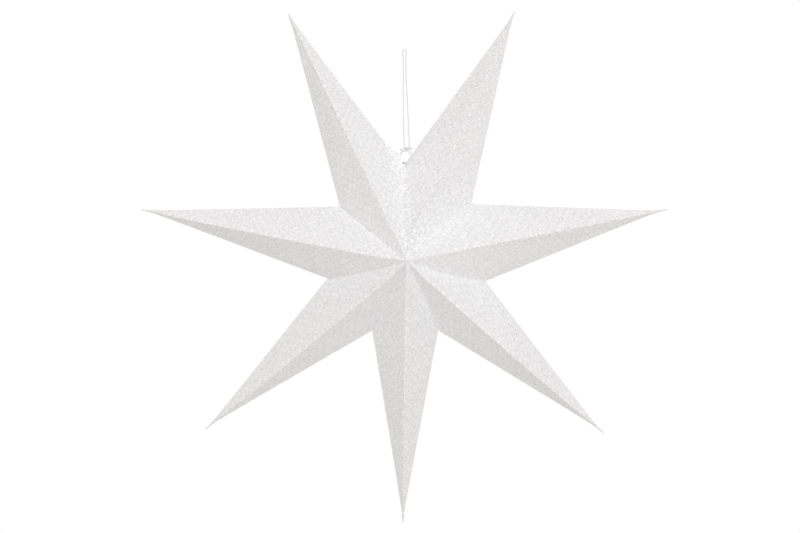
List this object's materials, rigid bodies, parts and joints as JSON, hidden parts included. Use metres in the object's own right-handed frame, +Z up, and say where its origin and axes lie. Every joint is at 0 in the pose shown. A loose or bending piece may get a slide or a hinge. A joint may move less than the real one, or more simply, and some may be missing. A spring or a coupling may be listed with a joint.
{
  "type": "paper advent star",
  "caption": "hanging star of folded white card, with hollow ridged points lapped and tied shut with a thin cord at the top, and a cord loop to hang it by",
  "frame": {"origin": "where a hook carries the loop of cord, under the top of the loop; the star's middle is 230.6 mm below it and 1.4 mm to its right", "axes": "+Z is up, the front faces -Y, and +X is to the right as seen from the front; the star stands in the XZ plane, equally deep in front and behind"},
  "size_m": [0.5898, 0.16, 0.5772],
  "materials": {
    "card": "matt white card with a fine pressed lattice and a faint glitter",
    "cord": "white twisted cotton cord"
  },
  "bodies": {
    "root": {"point_top_right": "card", "point_right": "card", "point_lower_right": "card", "point_bottom": "card", "point_lower_left": "card", "point_left": "card", "point_top_left": "card", "closing_knot": "cord", "hanging_loop": "cord"}
  },
  "joints": []
}
